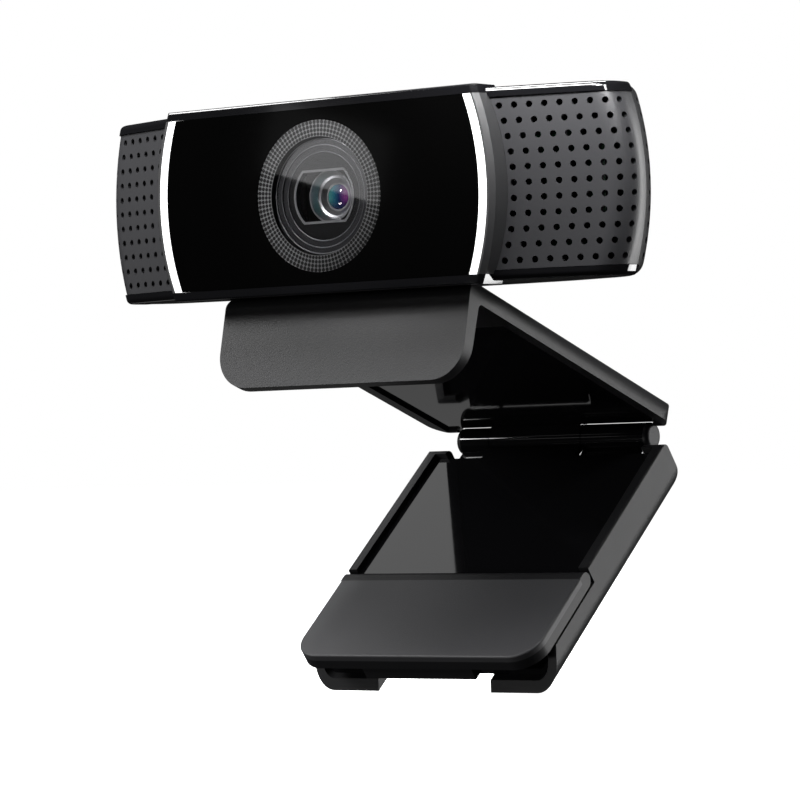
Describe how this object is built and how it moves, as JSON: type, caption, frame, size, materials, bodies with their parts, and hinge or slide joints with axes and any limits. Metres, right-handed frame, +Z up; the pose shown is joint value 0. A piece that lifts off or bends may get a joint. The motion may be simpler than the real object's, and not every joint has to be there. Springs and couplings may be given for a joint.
{
  "type": "webcam on tripod",
  "caption": "Bar-shaped webcam with perforated wings and a glossy front, tilting on a folding monitor clip with a lip, a leg and a flip-out foot.",
  "frame": {"origin": "centre of the front window's outer face, on the lens axis", "axes": "+X to the right of someone facing the lens, -Y the way the lens looks, +Z up"},
  "size_m": [0.0948, 0.0634, 0.0885],
  "materials": {
    "matte_black": "fine-grained satin",
    "gloss_black": "polished",
    "grille_black": "satin",
    "light_guide": "frosted",
    "window": "clear",
    "dark_matte": "matte",
    "lens_metal": "satin",
    "lens_glass": "coated",
    "steel": "brushed",
    "board": "solder mask",
    "chip": "matte",
    "magnet": "plated",
    "copper": "enamelled wire",
    "soft_black": "fine-grained",
    "led_white": "matte",
    "brass": "machined"
  },
  "bodies": {
    "arm": {"arm_shell": "matte_black", "arm_panel": "gloss_black", "arm_knuckle": "gloss_black", "knuckle_screws": "steel", "friction_sleeve": "brass", "lip_pad": "soft_black", "tilt_pin": "steel"},
    "camera": {"module_frame": "matte_black", "module_bars": "gloss_black", "front_panel": "gloss_black", "lens_window": "window", "light_strip_left": "light_guide", "light_strip_right": "light_guide", "light_boards": "board", "status_leds": "led_white", "grille_right": "grille_black", "grille_left": "grille_black", "top_cap": "gloss_black", "bottom_cap": "gloss_black", "rear_shell": "gloss_black", "lens_baffle": "dark_matte", "lens_hood": "dark_matte", "focus_housing": "dark_matte", "focus_magnets": "magnet", "sensor_holder": "dark_matte", "ir_filter": "lens_glass", "image_sensor": "chip", "sensor_board": "board", "chassis": "steel", "main_board": "board", "board_chips": "chip", "cable_header": "led_white", "microphones": "steel", "mic_gaskets": "soft_black", "mic_boards": "board", "housing_screws": "steel", "cable_inlet": "soft_black", "tilt_bracket": "steel"},
    "lens": {"lens_barrel": "lens_metal", "lens_glass": "lens_glass", "rear_element": "lens_glass", "focus_coil": "copper"},
    "leg": {"leg_shell": "matte_black", "leg_panel": "gloss_black", "leg_liner": "gloss_black", "leg_knuckles": "gloss_black", "fold_pin": "steel", "barrel_caps": "gloss_black", "tripod_insert": "brass", "foot_ears": "matte_black", "foot_pin": "steel"},
    "foot": {"foot_core": "matte_black", "foot_pad": "soft_black"}
  },
  "joints": [
    {"name": "camera_tilt", "type": "hinge", "parent": "arm", "child": "camera", "pos_m": [0, 0.0157, -0.01295], "axis": [1, 0, 0], "range_deg": [-22, 0]},
    {"name": "lens_focus", "type": "slide", "parent": "camera", "child": "lens", "axis": [0, 1, 0], "range_m": [0, 0.0003]},
    {"name": "leg_fold", "type": "hinge", "parent": "arm", "child": "leg", "pos_m": [0, 0.0612, -0.03716], "axis": [1, 0, 0], "range_deg": [-45, 90]},
    {"name": "foot_flip", "type": "hinge", "parent": "leg", "child": "foot", "pos_m": [0, 0.0336, -0.05818], "axis": [-1, 0, 0], "range_deg": [0, 30]}
  ]
}
